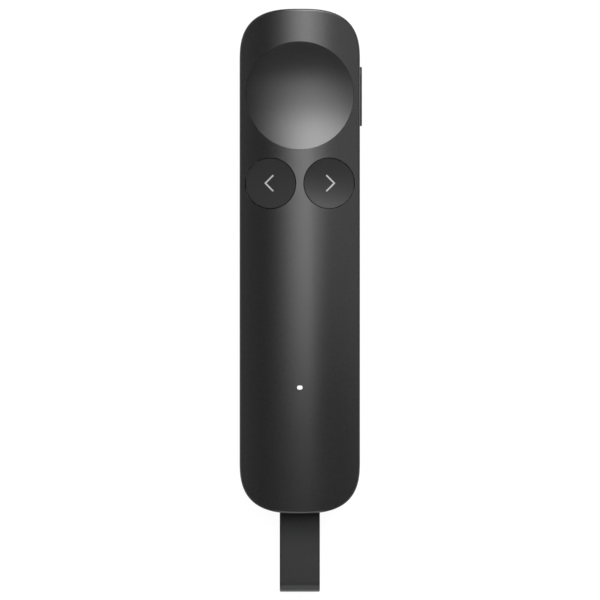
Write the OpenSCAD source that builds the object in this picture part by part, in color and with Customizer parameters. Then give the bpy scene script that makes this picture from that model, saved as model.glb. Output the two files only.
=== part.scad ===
// Wireless presentation clicker: a slim hand-held remote with a thumb dish, two round keys,
// a side key, a status light and a dongle that docks in the tail and is pulled out by its loop.
// The body lies on its back: +Z is up through the keys, +Y points to the dish end, and the
// origin is the centre of the flat underside.

/* [Body] */
// Length of the body, without the loop
body_l = 125.8; // [122:0.1:136]
// Width of the body
body_w = 30; // [29.6:0.1:34]
// Thickness of the body at the middle of its crown
body_t = 13; // [12.8:0.1:15]
// Length over which each end is rounded in plan
end_l = 13.3; // [12:0.1:16]
// Exponent of the superellipse that rounds the ends
end_power = 2.8; // [2.4:0.05:3.2]
// Radius of the crown across the top
crown_r = 44; // [42:1:70]
// Thickness of the side walls
wall = 1.2; // [1.1:0.05:1.25]
// Thickness of the top shell under its crown
roof = 1.4; // [1.3:0.05:1.6]
// Thickness of the floor of the bottom shell
floor_t = 1.5; // [1.2:0.05:1.6]
// Height of the seam between the two shells
seam_z = 4; // [3.8:0.05:4.1]
// How far the underside is set in by its rounded edge
base_round = 4; // [3:0.1:5]
// Radius of the edge between the crown and the sides
top_round = 0.45; // [0.4:0.05:0.9]
// Height of the tongue that lines up the two shells
tongue_h = 0.7; // [0.5:0.05:0.75]

/* [Thumb dish] */
// Width of the land between the dish's opening and each side
dish_margin = 1.5; // [1.4:0.05:2.5]
// Distance from the front end to the dish's opening
dish_front = 8.15; // [7.9:0.05:9]
// Depth of the hollow below the crown
dish_depth = 1.0; // [0.7:0.05:1.4]
// Gap round the dish
dish_gap = 0.12; // [0.1:0.01:0.3]
// Diameter of the dish posts
post_d = 1.8; // [1.5:0.05:2]
// Diameter of the spring wire under the dish
spring_wire = 0.3; // [0.2:0.02:0.34]
// Turns in each dish spring
spring_turns = 2; // [1.5:0.25:2.5]

/* [Round keys] */
// Width of the land between the openings of the two keys
keys_land = 1.8; // [1.6:0.05:3]
// Width of the land between each key's opening and the side
key_margin = 1.3; // [1.2:0.05:1.6]
// Width of the land between the openings of the dish and a key
key_land = 3.15; // [3:0.05:4]
// Depth of the hollow in each key
key_depth = 0.4; // [0.1:0.05:0.5]
// Gap round each key
key_gap = 0.16; // [0.12:0.01:0.3]
// Diameter of the key posts
key_post_d = 1.3; // [1:0.05:1.4]
// How far the dish and the round keys travel
travel = 0.4; // [0.3:0.05:0.45]

/* [Side key] */
// Length of the side key
side_l = 14.8; // [12:0.1:15.5]
// Height of the side key
side_h = 3.3; // [2.8:0.05:3.4]
// Height of the middle of the side key
side_z = 6.6; // [6.4:0.05:6.7]
// How far the side key stands out of the wall
side_proud = 0.5; // [0.4:0.02:0.8]
// How far the side key travels
side_travel = 0.3; // [0.2:0.02:0.35]
// How far its middle lies behind the middle of the dish
side_back = 0.25; // [0:0.05:1]
// Gap round the side key
side_gap = 0.12; // [0.08:0.01:0.2]

/* [Status light] */
// Distance from the keys back to the light
light_back = 50.9; // [48:0.1:52]
// Length of the light window across the body
light_l = 1.4; // [1.4:0.05:2.4]
// Width of the light window along the body
light_w = 1.05; // [0.9:0.05:1.3]

/* [Inner parts] */
// Height of the underside of the main board
board_z = 6.6; // [6.5:0.05:6.8]
// Thickness of the main board
board_t = 1; // [0.8:0.05:1]
// Thickness of the plate of the key frame
frame_t = 1.2; // [1:0.05:1.25]
// Side of the square push switches
switch_w = 4.3; // [4:0.05:4.4]
// Height of the push switches
switch_h = 1.5; // [1.3:0.05:1.6]
// Diameter of the screw shanks
screw_d = 1.6; // [1.4:0.05:1.7]
// Length of the battery
battery_l = 45; // [38:0.5:46]
// Width of the battery
battery_w = 20; // [16:0.5:20.5]
// Thickness of the battery
battery_t = 3.6; // [3:0.1:3.6]
// Diameter of the haptic motor
motor_d = 8; // [7:0.1:10]
// Thickness of the haptic motor
motor_t = 2.7; // [2.2:0.1:3]

/* [Dongle and loop] */
// Width of the dongle
dongle_w = 11.6; // [11.4:0.05:12]
// Thickness of the dongle
dongle_h = 5.4; // [5.3:0.05:5.6]
// How far the dongle sits inside the end of the tail
dongle_sunk = 0.4; // [0.2:0.05:0.8]
// Gap between the dongle and its dock
dock_gap = 0.2; // [0.1:0.01:0.22]
// Thickness of the wall of the dock
dock_wall = 0.6; // [0.5:0.02:0.6]
// Width of the pull loop
loop_w = 10; // [8:0.1:10]
// Thickness of the strip of the loop
loop_t = 1.2; // [0.9:0.05:1.25]
// Diameter of the pin that holds the loop
pin_d = 1.6; // [1.4:0.05:1.65]
// How far the loop stands out of the tail
loop_out = 19.5; // [14:0.1:26]

/* [Hidden] */
$fn = 48;

// Colours of the finishes
graphite = "#303031";
key_black = "#262627";
strap_grey = "#343536";
frame_grey = "#4a4c50";
board_green = "#1f4a36";
tin = "#b9bcc0";
chip_black = "#1b1c1f";
foil = "#9aa0a6";
clear_white = "#f3f6f8";

eps = 0.01;             // overlap of cutting solids past the faces they cut
plan_steps = 12;        // facets in each quarter of the plan outline
edge_steps = 4;         // facets round the top edge
base_steps = 7;         // facets round the bottom edge

// Driving places
half_w = body_w / 2;
front_y = body_l / 2;
tail_y = -body_l / 2;
inner_w = half_w - wall;
dish_d = body_w - 2 * dish_margin;          // diameter of the dish's opening
dish_y = front_y - dish_front - dish_d / 2;
key_d = half_w - key_margin - keys_land / 2;  // diameter of each key's opening
key_x = half_w - key_margin - key_d / 2;
key_back = sqrt(pow(dish_d / 2 + key_land + key_d / 2, 2) - key_x * key_x);
key_y = dish_y - key_back;
light_y = key_y - light_back;

// Stack of the inner parts, from the board upwards
board_top = board_z + board_t;
frame_top = board_top + frame_t;
switch_top = board_top + switch_h;
plunger_out = 0.5;                          // how far a switch plunger stands out
plunger_top = switch_top + plunger_out;
touch = 0.05;                               // air between a key's nub and its plunger
cap_under = frame_top + travel + 1;         // flat underside of the dish and the keys
skirt_under = frame_top + travel + 0.2;     // lower edge of their skirts
sleeve_top = cap_under - travel - 0.1;      // top of the guide sleeves on the frame
post_under = board_top + travel + 0.1;      // lower end of the posts
running = 0.06;                             // radial clearance of a post in its sleeve
sleeve_wall = 0.55;                         // wall of a guide sleeve
sleeve_air = 0.15;                          // air round a sleeve
skirt_t = 1.1;                              // thickness of the skirts
lip = 0.55;                                 // how far a flange reaches past its opening
flange_t = 0.75;                            // thickness of the key flanges
rim_ease = 0.15;                            // easing of the rims of the dish and the keys

dish_cap_r = dish_d / 2 - dish_gap;
key_cap_r = key_d / 2 - key_gap;
spring_r = post_d / 2 + running + sleeve_wall + sleeve_air + spring_wire; // outer radius
post_ring = dish_cap_r - skirt_t - spring_r - sleeve_air;   // radius of the ring of dish posts
key_post_reach = key_cap_r - skirt_t - key_post_d / 2 - running - sleeve_wall - sleeve_air;
wing_w = 8;                                 // width of the two retaining wings of the dish
wing_r = dish_d / 2 + 1;                    // how far those wings reach

// Battery, its leads and their connector
battery_mid = -6.5;
battery_y0 = battery_mid - battery_l / 2;
battery_y1 = battery_mid + battery_l / 2;
battery_seal = 0.8;                         // sealed edge at each end of the cell
pad_t = 0.2;                                // adhesive foam under the cell and the motor
rib_t = 0.9;                                // thickness of the ribs round the cell
rib_h = 1.6;                                // their height above the floor
rib_play = 0.3;                             // air between the cell and its ribs
lead_d = 0.8;
lead_pitch = 2.2;
lead_l = 4;
plug_in_l = 3.4;
plug_in_w = 5.2;
plug_in_h = 1.9;

// Screws
boss_wall = 0.7;
boss_r = screw_d / 2 + boss_wall;
screw_x = inner_w - 3.3;                    // screws along the sides
gap_screw_x = inner_w - 1.8;                // screws in the gap between the dish and the keys
frame_l = key_back - 9.25;                  // how far the key frame reaches behind the keys
frame_screw_at = [[half_w / 2, front_y - 5.6], [gap_screw_x, dish_y - dish_d / 2 - 0.35],
    [screw_x, key_y - frame_l + 2.7]];
board_screw_at = [[screw_x, battery_y0 - 2.5], [screw_x, tail_y + 20.9]];
screw_head_d = screw_d * 1.75;
screw_head_h = 0.9;
screw_grip = 2.4;                           // how far a board screw reaches past the board
screw_slot = 0.3;                           // width of the cross in its head
pilot_less = 0.1;                           // how much a pilot hole is under the screw's size
screw_air = 0.3;                            // how much a screw hole is over its size

// Side key and its switch
side_y = dish_y - side_back;
side_flange = 0.45;                         // how far its flange reaches past the key
side_flange_t = 0.7;
side_flange_x = inner_w - 0.2;              // outer face of that flange
side_notch = side_l / 2 + side_flange + 0.6; // half length of the notches that clear the key
side_switch_edge = inner_w - 4.4;           // edge of the board beside the switch
side_switch_l = 4.4;
side_switch_w = 3;
side_switch_h = 1.6;
side_bore_end = side_switch_edge - 2;       // inner end of the plunger's hole
side_plunger_w = 1.6;
side_plunger_h = 0.9;
side_plunger_z = board_z - side_switch_h / 2;
side_plunger_tip = side_switch_edge + 1;

// Charging port, dock and dongle
port_h = 3.16;
port_w = 8.94;
port_l = 7.3;
port_inset = 17.9;
port_y = tail_y + port_inset;               // mouth of the port
port_skin = 0.3;                            // thickness of its rear wall
tongue_w = 6.6;
tongue_t = 0.7;
tongue_back = 1.2;                          // how far the tongue stays inside the mouth
tongue_seat = 0.2;                          // air between the seated plug and the tongue's foot
dock_z = board_z - port_h / 2;              // mid height of the port, dongle and loop
plug_w = 8.34;
plug_h = 2.56;
plug_gap = 0.08;
plug_reach = 6;                             // how deep the plug sits in the port
rear_plate = 0.9;                           // plate at the inner end of the dock
plate_gap = 0.1;
mouth_w = dongle_w + 2 * dock_gap;
mouth_h = dongle_h + 2 * dock_gap;
mouth_r = 1.6;                              // corner radius of the mouth
plug_r = 1.2;                               // corner radius of the plug
sleeve_y0 = tail_y + wall + 0.9;            // outer end of the dock
dongle_tail = tail_y + dongle_sunk;
dongle_front = port_y - plate_gap - rear_plate - dock_gap;
dongle_wall = 0.9;
dongle_face = 0.8;                          // thickness of its front wall, which holds the plug
bay_wall = 0.7;                             // wall between the loop's bay and the electronics
pin_inset = 2.6;
pin_y = dongle_tail + pin_inset;
pin_seat = 0.5;                             // how far each end of the pin sits in the case
loop_r = pin_d / 2 + loop_t;
loop_tail = tail_y - loop_out;
loop_room = 0.15;                           // air round the loop inside the dongle
loop_bay = pin_y + loop_r + loop_room;      // inner end of the bay that holds the loop

// ---------------------------------------------------------------- outlines and lofts

// Height of the crown above a point at x
function crown(x) = body_t - crown_r + sqrt(crown_r * crown_r - x * x);

function bulge(v) = sign(v) * pow(abs(v), 2 / end_power);

// A point of the rounded end at angle t, with the outline set in by d
function end_point(t, d) = [(half_w - d) * bulge(cos(t)), (end_l - d) * bulge(sin(t))];

// The plan outline set in by d: the front end and then the tail end, each from side to side
function outline(d) = let (n = 2 * plan_steps, straight = front_y - end_l) concat(
    [for (i = [0:n]) end_point(180 * i / n, d) + [0, straight]],
    [for (i = [0:n]) end_point(180 + 180 * i / n, d) - [0, straight]]);

ring_n = 4 * plan_steps + 2;

// Skin of rings that each hold ring_n points: walls, a flat bottom and a top of straight
// strips that run from the front end to the tail end, so that a crowned top stays smooth.
module loft(rings) {
    n = ring_n;
    last = (len(rings) - 1) * n;
    walls = [for (k = [0:len(rings) - 2], i = [0:n - 1]) let (j = (i + 1) % n)
        each [[k * n + i, (k + 1) * n + i, (k + 1) * n + j], [k * n + i, (k + 1) * n + j, k * n + j]]];
    strips = [for (i = [0:2 * plan_steps - 1])
        [last + i, last + n - 1 - i, last + n - 2 - i, last + i + 1]];
    polyhedron([for (r = rings) each r], concat([[for (i = [0:n - 1]) i]], walls, strips));
}

// One ring of a loft, set in by d at height z
function flat_ring(d, z) = [for (p = outline(d)) [p.x, p.y, z]];

// One ring that follows the crown, set in by d and lowered by drop
function crown_ring(d, drop) = [for (p = outline(d)) [p.x, p.y, crown(p.x) - drop]];

module plan_prism(d, z0, z1) {
    translate([0, 0, z0]) linear_extrude(z1 - z0) polygon(outline(d));
}

// A round plug, cut off by the crown and hollowed by depth towards its middle. The rings of
// its top reach past r, where a true cylinder trims them, and its rim is eased.
module crowned_plug(at, r, open_r, depth, under, rings = 7, sectors = 40) {
    radii = concat([for (k = [1:rings]) (r - rim_ease) * k / rings], [r + rim_ease]);
    n = sectors;
    top = [for (k = [0:rings], i = [0:n - 1]) let (
        q = radii[k], a = 360 * i / n, x = at.x + q * cos(a), drop = k == rings ? rim_ease : 0)
        [x, at.y + q * sin(a), crown(x) - depth * (1 - pow(q / open_r, 2)) - drop]];
    foot = [for (i = [0:n - 1]) let (a = 360 * i / n)
        [at.x + radii[rings] * cos(a), at.y + radii[rings] * sin(a), under - 1]];
    centre = [[at.x, at.y, crown(at.x) - depth]];
    fan = [for (i = [0:n - 1]) [0, 1 + (i + 1) % n, 1 + i]];
    skin = [for (k = [0:rings], i = [0:n - 1]) let (
        a = 1 + k * n + i, b = 1 + k * n + (i + 1) % n)
        each [[a, b, b + n], [a, b + n, a + n]]];
    base = [for (i = [n - 1:-1:0]) 1 + (rings + 1) * n + i];
    intersection() {
        polyhedron(concat(centre, top, foot), concat(fan, skin, [base]));
        post(at, 2 * r, under, body_t + 1);
    }
}

// Rectangle with round corners, centred
module round_rect(w, h, r) {
    square([w - 2 * r, h], center = true);
    square([w, h - 2 * r], center = true);
    for (x = [-1, 1], y = [-1, 1])
        translate([x * (w / 2 - r), y * (h / 2 - r)]) circle(r);
}

// Slot shape with round ends, lying along x
module pill(l, w) {
    square([l - w, w], center = true);
    for (x = [-1, 1]) translate([x * (l - w) / 2, 0]) circle(w / 2);
}

// Extrudes an x-z shape along the body, from y0 to y1
module along_y(y0, y1) {
    translate([0, y1, 0]) rotate([90, 0, 0]) linear_extrude(y1 - y0) children();
}

// Extrudes a y-z shape across the body, from x0 to x1
module along_x(x0, x1) {
    translate([x0, 0, 0]) rotate([90, 0, 90]) linear_extrude(x1 - x0) children();
}

module block(x0, x1, y0, y1, z0, z1) {
    translate([x0, y0, z0]) cube([x1 - x0, y1 - y0, z1 - z0]);
}

module post(at, d, z0, z1) {
    translate([at.x, at.y, z0]) cylinder(d = d, h = z1 - z0);
}

module both_sides() {
    children();
    mirror([1, 0, 0]) children();
}

// ---------------------------------------------------------------- housing

hook_at = [-38, -12, 12.5];     // places of the snap hooks along each side
hook_w = 3;
hook_t = 0.9;
hook_x = inner_w - 0.15;        // outer face of the hooks
hook_nose = 0.3;                // how far a nose stands out
nose_h = 0.9;                   // height of a nose
hook_z = board_z - 0.4;         // top of the hooks
hook_pocket = 0.12;             // air round a nose in its pocket

module top_skin() {
    turn = [for (i = [0:edge_steps]) 90 * i / edge_steps];
    loft(concat([flat_ring(0, seam_z)],
        [for (a = turn) crown_ring(top_round * (1 - cos(a)), top_round * (1 - sin(a)))]));
}

module top_cavity() {
    loft([flat_ring(wall, seam_z - 1), crown_ring(wall, roof)]);
}

module screw_boss(at, z0) {
    post(at, 2 * boss_r, z0, crown(at.x + boss_r) - 0.3);
}

module screw_pilot(at, z0) {
    post(at, screw_d - pilot_less, z0 - eps, crown(at.x + boss_r) - roof / 2);
}

module tail_mouth() {
    translate([0, 0, dock_z]) along_y(tail_y - 1, tail_y + 6)
        round_rect(mouth_w, mouth_h, mouth_r);
}

module top_shell() color(graphite) difference() {
    union() {
        difference() {
            top_skin();
            top_cavity();
        }
        both_sides() {
            for (p = frame_screw_at) screw_boss(p, frame_top);
            for (p = board_screw_at) screw_boss(p, board_top);
        }
        dock_ribs();
    }
    post([0, dish_y], dish_d, frame_top, body_t + 1);
    for (s = [-1, 1]) post([s * key_x, key_y], key_d, frame_top, body_t + 1);
    translate([0, light_y, board_top]) linear_extrude(body_t) pill(light_l, light_w);
    translate([0, side_y, side_z]) along_x(inner_w - 1, half_w + 1)
        pill(side_l + 2 * side_gap, side_h + 2 * side_gap);
    tail_mouth();
    tongue_groove();
    both_sides() {
        for (p = frame_screw_at) screw_pilot(p, frame_top);
        for (p = board_screw_at) screw_pilot(p, board_top);
        for (y = hook_at) block(inner_w - 0.5, hook_x + hook_nose + hook_pocket,
            y - hook_w / 2 - hook_pocket, y + hook_w / 2 + hook_pocket,
            hook_z - nose_h - hook_pocket, hook_z + hook_pocket);
    }
}

// Two ribs under the roof that hold the dock down
module dock_ribs() {
    for (y = [sleeve_y0 + 4, port_y - 4 - rib_t])
        block(-dongle_w / 2, dongle_w / 2, y, y + rib_t,
            dock_z + mouth_h / 2 + dock_wall, crown(dongle_w / 2) - roof / 2);
}

// The inner half of the wall is cut away for the tongue
module tongue_groove() {
    difference() {
        plan_prism(wall / 2 - 0.05, seam_z - eps, seam_z + tongue_h + 0.08);
        plan_prism(wall + 2, seam_z - 1, seam_z + 2);
    }
}

module base_skin() {
    turn = [for (i = [0:base_steps]) 90 * i / base_steps];
    loft([for (a = turn) flat_ring(base_round * (1 - sin(a)), seam_z * (1 - cos(a)))]);
}

module base_cavity() {
    turn = [for (i = [0:base_steps]) 90 * i / base_steps];
    inset = base_round - wall / 2;
    rise = seam_z - floor_t;
    loft(concat([for (a = turn) flat_ring(wall + inset * (1 - sin(a)), floor_t + rise * (1 - cos(a)))],
        [flat_ring(wall, seam_z + 1)]));
}

module snap_hook(y) {
    tip = hook_x + hook_nose;
    along_y(y - hook_w / 2, y + hook_w / 2) polygon([
        [hook_x - hook_t, seam_z - 1.6], [hook_x, seam_z - 1.6], [hook_x, hook_z - nose_h],
        [tip, hook_z - 0.9 * nose_h], [tip, hook_z - nose_h / 2], [hook_x, hook_z],
        [hook_x - hook_t, hook_z]]);
}

module bottom_shell() color(graphite) difference() {
    union() {
        difference() {
            base_skin();
            base_cavity();
        }
        difference() {
            plan_prism(wall / 2 + 0.05, seam_z - 0.5, seam_z + tongue_h);
            plan_prism(wall, seam_z - 1, seam_z + 2);
        }
        both_sides() for (y = hook_at) snap_hook(y);
        battery_ribs();
        motor_ring();
    }
    tail_mouth();
    dock_outer(0.05, sleeve_y0 - 0.1);
    translate([0, side_y, side_z]) along_x(inner_w - 2, half_w + 1)
        pill(side_l + 4 * side_flange, side_h + 2 * side_flange + 0.3);
}

// Low ribs that box the battery in
module battery_ribs() {
    z0 = floor_t / 2;
    z1 = floor_t + rib_h;
    side = battery_w / 2 + rib_play;
    both_sides() {
        for (y = [battery_y0 - rib_play - rib_t, battery_y1 + rib_play])
            block(battery_w / 6, battery_w / 2, y, y + rib_t, z0, z1);
        for (y = [battery_y0 + battery_l / 6, battery_y1 - battery_l / 5])
            block(side, side + rib_t, y, y + hook_w, z0, z1);
    }
}

// Ring that centres the haptic motor
module motor_ring() {
    difference() {
        post(motor_at, motor_d + 2 * rib_t + 0.4, floor_t / 2, floor_t + rib_h / 2);
        post(motor_at, motor_d + 0.4, 0, body_t);
    }
}

// ---------------------------------------------------------------- keys and their frame

module guide_sleeve(at, d) {
    post(at, d + 2 * running + 2 * sleeve_wall, frame_top - eps, sleeve_top);
}

module guide_bore(at, d) {
    post(at, d + 2 * running, board_top - 1, sleeve_top + 1);
}

dish_posts = [for (a = [45:90:315]) [post_ring * cos(a), dish_y + post_ring * sin(a)]];
key_posts = [for (x = [-1, 1], y = [-1, 1]) [x * key_x, key_y + y * key_post_reach]];
switch_at = [[0, dish_y], [-key_x, key_y], [key_x, key_y]];

module key_frame() color(frame_grey) difference() {
    union() {
        intersection() {
            plan_prism(wall + 0.35, board_top, frame_top);
            block(-half_w, half_w, key_y - frame_l, front_y - wall - 1, board_top - 1, frame_top + 1);
        }
        for (p = dish_posts) guide_sleeve(p, post_d);
        for (p = key_posts) guide_sleeve(p, key_post_d);
    }
    for (p = dish_posts) guide_bore(p, post_d);
    for (p = key_posts) guide_bore(p, key_post_d);
    for (p = switch_at) translate([p.x, p.y, board_top])
        cube([switch_w + 0.4, switch_w + 0.4, 4 * frame_t], center = true);
    both_sides() for (p = frame_screw_at)
        post(p, screw_d + screw_air, board_top - 1, frame_top + 1);
    block(side_flange_x - side_flange_t - side_travel - 0.3, half_w,
        side_y - side_notch, side_y + side_notch, board_top - 1, frame_top + 1);
    antenna_window();
}

// The hollow inside a skirt
module skirt_bore(at, r) {
    post(at, 2 * (r - skirt_t), skirt_under - 1, cap_under);
}

module nub(at) {
    post(at, 3, plunger_top + touch, cap_under + 0.2);
}

module dish_button() color(graphite) {
    at = [0, dish_y];
    difference() {
        union() {
            crowned_plug(at, dish_cap_r, dish_d / 2, dish_depth, skirt_under, 9, 56);
            intersection() {
                post(at, 2 * wing_r, skirt_under, crown(wing_w / 2) - roof - 0.12);
                block(-wing_w / 2, wing_w / 2, dish_y - body_w, dish_y + body_w, 0, body_t);
            }
        }
        skirt_bore(at, dish_cap_r);
    }
    nub(at);
    for (p = dish_posts) post(p, post_d, post_under, cap_under + 0.2);
}

module round_key(side) {
    at = [side * key_x, key_y];
    reach = key_x + key_cap_r - 2.8;    // the flange stops short of the side wall
    difference() {
        union() {
            crowned_plug(at, key_cap_r, key_d / 2, key_depth, skirt_under);
            intersection() {
                post(at, key_d + 2 * lip, skirt_under, skirt_under + flange_t);
                block(-reach, reach, key_y - body_w, key_y + body_w, 0, body_t);
            }
        }
        skirt_bore(at, key_cap_r);
    }
    nub(at);
    for (y = [-1, 1]) post(at + [0, y * key_post_reach], key_post_d, post_under, cap_under + 0.2);
}

module back_button() color(key_black) round_key(-1);

module next_button() color(key_black) round_key(1);

module side_button() color(key_black) {
    back = side_flange_x - side_flange_t;
    translate([0, side_y, side_z]) {
        along_x(back, half_w + side_proud) pill(side_l, side_h);
        along_x(back, side_flange_x)
            pill(side_l + 2 * side_flange, side_h + 2 * side_flange);
    }
    block(side_plunger_tip + touch, back + eps, side_y - side_plunger_w, side_y + side_plunger_w,
        side_plunger_z - 2 * side_plunger_h / 3, side_plunger_z + 2 * side_plunger_h / 3);
}

// One helix of round wire, from z0 to z1, round a post
module coil(at, mean_r, z0, z1) {
    sides = 6;
    steps = round(14 * spring_turns);
    rise = z1 - z0 - spring_wire;
    points = [for (k = [0:steps], s = [0:sides - 1]) let (
        a = 360 * spring_turns * k / steps, b = 360 * s / sides,
        q = mean_r + spring_wire / 2 * cos(b))
        [at.x + q * cos(a), at.y + q * sin(a),
            z0 + spring_wire / 2 + rise * k / steps + spring_wire / 2 * sin(b)]];
    skin = [for (k = [0:steps - 1], s = [0:sides - 1]) let (
        a = k * sides + s, b = k * sides + (s + 1) % sides)
        each [[a, b, b + sides], [a, b + sides, a + sides]]];
    polyhedron(points, concat(skin,
        [[for (s = [sides - 1:-1:0]) s]], [[for (s = [0:sides - 1]) steps * sides + s]]));
}

module dish_springs() color(tin)
    for (p = dish_posts) coil(p, spring_r - spring_wire / 2, frame_top, cap_under);

// ---------------------------------------------------------------- board and what it carries

plunger_d = 1.8;
switch_base = 0.6;                  // thickness of a switch under its plunger
switch_lip = 0.2;                   // height of the round lip on its cover

module push_switch(at) {
    difference() {
        union() {
            translate([at.x, at.y, board_top]) linear_extrude(switch_h - switch_lip)
                square(switch_w, center = true);
            post(at, switch_w - 0.9, board_top + 0.1, switch_top);
        }
        post(at, plunger_d + 2 * running, board_top + switch_base, switch_top + 1);
    }
}

module push_plunger(at) {
    post(at, plunger_d, board_top + switch_base + travel + 0.05, plunger_top);
}

module dish_switch() color(tin) push_switch(switch_at[0]);

module back_switch() color(tin) push_switch(switch_at[1]);

module next_switch() color(tin) push_switch(switch_at[2]);

module dish_plunger() color(key_black) push_plunger(switch_at[0]);

module back_plunger() color(key_black) push_plunger(switch_at[1]);

module next_plunger() color(key_black) push_plunger(switch_at[2]);

// Right-angle switch under the edge of the board, pushed by the side key
module side_switch() color(tin) difference() {
    block(side_switch_edge - side_switch_w, side_switch_edge, side_y - side_switch_l / 2, side_y + side_switch_l / 2,
        board_z - side_switch_h, board_z);
    translate([0, side_y, side_plunger_z]) along_x(side_bore_end, side_switch_edge + 1)
        square([side_plunger_w + 2 * running, side_plunger_h + 2 * running], center = true);
}

module side_plunger() color(key_black)
    translate([0, side_y, side_plunger_z])
        along_x(side_bore_end + side_travel + 0.05, side_plunger_tip)
            square([side_plunger_w, side_plunger_h], center = true);

module main_board() color(board_green) difference() {
    intersection() {
        plan_prism(wall + 0.5, board_z, board_top);
        block(-half_w, half_w, port_y, front_y, board_z - 1, board_top + 1);
    }
    block(side_switch_edge, half_w, side_y - side_notch, side_y + side_notch,
        board_z - 1, board_top + 1);
    both_sides() for (p = concat(frame_screw_at, board_screw_at))
        post(p, screw_d + screw_air, board_z - 1, board_top + 1);
}

led_w = 1.6;
led_l = 0.8;
led_h = 0.6;
pipe_air = 0.02;                    // air round the light pipe in its window
pipe_flange = 3;                    // diameter of its flange

module status_led() color(clear_white)
    block(-led_w / 2, led_w / 2, light_y - led_l / 2, light_y + led_l / 2, board_top, board_top + led_h);

// Clear rod from the light on the board up to the crown, with a flange under the roof
module light_pipe() color(clear_white) intersection() {
    under = crown(pipe_flange / 2) - roof;
    union() {
        translate([0, light_y, board_top + led_h + 0.2]) linear_extrude(body_t)
            pill(light_l - 2 * pipe_air, light_w - 2 * pipe_air);
        post([0, light_y], pipe_flange, under - 1.1, under - 0.1);
    }
    translate([0, light_y + 5, body_t - crown_r]) rotate([90, 0, 0]) cylinder(r = crown_r, h = 10);
}

antenna_l = 8;
antenna_w = 1.2;
antenna_h = 1.5;                    // height of the strip above the board
sheet = 0.2;                        // thickness of sheet-metal parts
antenna_y = front_y - wall - 2.8;

// Bent strip antenna that stands on two legs on the front edge of the board
module antenna() color(tin) {
    x0 = -antenna_l / 2;
    block(x0, -x0, antenna_y, antenna_y + antenna_w, board_top + antenna_h, board_top + antenna_h + sheet);
    for (x = [x0, x0 + antenna_l / 3])
        block(x, x + 0.8, antenna_y, antenna_y + sheet, board_top, board_top + antenna_h + sheet);
}

module antenna_window() {
    x = antenna_l / 2 + 0.5;
    block(-x, x, antenna_y - 0.5, front_y, board_top - 1, frame_top + 1);
}

shield_at = [-2.5, dish_y - 7];
shield_w = 10;
shield_l = 8;
shield_h = 1.5;

// Drawn can over the radio, open towards the board
module radio_shield() color(tin) translate([shield_at.x, shield_at.y, board_z - shield_h]) difference() {
    linear_extrude(shield_h) square([shield_w, shield_l], center = true);
    translate([0, 0, sheet]) linear_extrude(shield_h)
        square([shield_w - 2 * sheet, shield_l - 2 * sheet], center = true);
}

// Controller, motion sensor, charger and memory on the underside of the board:
// place from the middle of the dish, side and height
chips = [[[6, -6.8], 5, 0.85], [[-7.5, 0.8], 3, 0.8], [[0.8, 1.2], 2.5, 0.7], [[-5.5, 10.5], 3, 0.8]];

module board_chips() color(chip_black) for (c = chips)
    translate([c[0].x, dish_y + c[0].y, board_z - c[2] / 2]) cube([c[1], c[1], c[2]], center = true);

// Pouch cell with its folded edges at both ends
module battery() color(foil) translate([0, 0, floor_t + pad_t]) {
    edge_w = battery_w - 3;
    linear_extrude(battery_t) translate([0, battery_mid])
        round_rect(battery_w, battery_l - 2 * battery_seal, 1);
    block(-edge_w / 2, edge_w / 2, battery_y0, battery_y1, 0.3 * battery_t, 0.8 * battery_t);
}

module battery_pad() color(chip_black)
    block(-0.4 * battery_w, 0.4 * battery_w, battery_y0 + 4, battery_y1 - 4, floor_t, floor_t + pad_t);

// Route of one battery lead, from the cell to the plug: share of its rise and of its run
plug_y = battery_y1 + lead_l;
lead_rise = [0, 0, 0.1, 0.5, 0.9, 1, 1];
lead_run = [0, 0.12, 0.3, 0.5, 0.7, 0.88, 1];

module lead(x) {
    sides = 8;
    z0 = floor_t + pad_t + 0.65 * battery_t;
    z1 = board_z - 0.58 * plug_in_h;
    n = len(lead_run);
    points = [for (k = [0:n - 1], s = [0:sides - 1]) let (b = 360 * s / sides)
        [x + lead_d / 2 * cos(b), battery_y1 + lead_run[k] * (plug_y - battery_y1),
            z0 + lead_rise[k] * (z1 - z0) + lead_d / 2 * sin(b)]];
    skin = [for (k = [0:n - 2], s = [0:sides - 1]) let (
        a = k * sides + s, b = k * sides + (s + 1) % sides)
        each [[a, b + sides, b], [a, a + sides, b + sides]]];
    polyhedron(points, concat(skin,
        [[for (s = [0:sides - 1]) s]], [[for (s = [sides - 1:-1:0]) (n - 1) * sides + s]]));
}

module battery_leads() color("#b03028") for (x = [-1, 1]) lead(x * lead_pitch / 2);

module battery_connector() color(clear_white)
    block(-plug_in_w / 2, plug_in_w / 2, plug_y, plug_y + plug_in_l, board_z - plug_in_h, board_z);

motor_at = [-3, dish_y + 5];

module haptic_motor() color(tin)
    post(motor_at, motor_d, floor_t + pad_t, floor_t + pad_t + motor_t);

module motor_pad() color(chip_black) post(motor_at, motor_d - 1, floor_t, floor_t + pad_t);

// ---------------------------------------------------------------- screws

module screw(at, tip) {
    cross = screw_head_d / 2;
    post(at, screw_d - pilot_less, board_z - eps, tip);
    translate([at.x, at.y, board_z - screw_head_h]) difference() {
        cylinder(d = screw_head_d, h = screw_head_h);
        for (a = [0, 90]) rotate([0, 0, a])
            cube([cross, screw_slot, screw_head_h], center = true);
    }
}

module frame_screws() color(tin)
    both_sides() for (p = frame_screw_at) screw(p, crown(p.x + boss_r) - 0.7 * roof);

module board_screws() color(tin)
    both_sides() for (p = board_screw_at) screw(p, board_top + screw_grip);

// ---------------------------------------------------------------- port, dock and dongle

module charge_port() color(tin) translate([0, 0, dock_z]) difference() {
    along_y(port_y, port_y + port_l) round_rect(port_w, port_h, plug_r);
    along_y(port_y - 1, port_y + port_l - port_skin)
        round_rect(plug_w + 2 * plug_gap, plug_h + 2 * plug_gap, plug_r);
}

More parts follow.
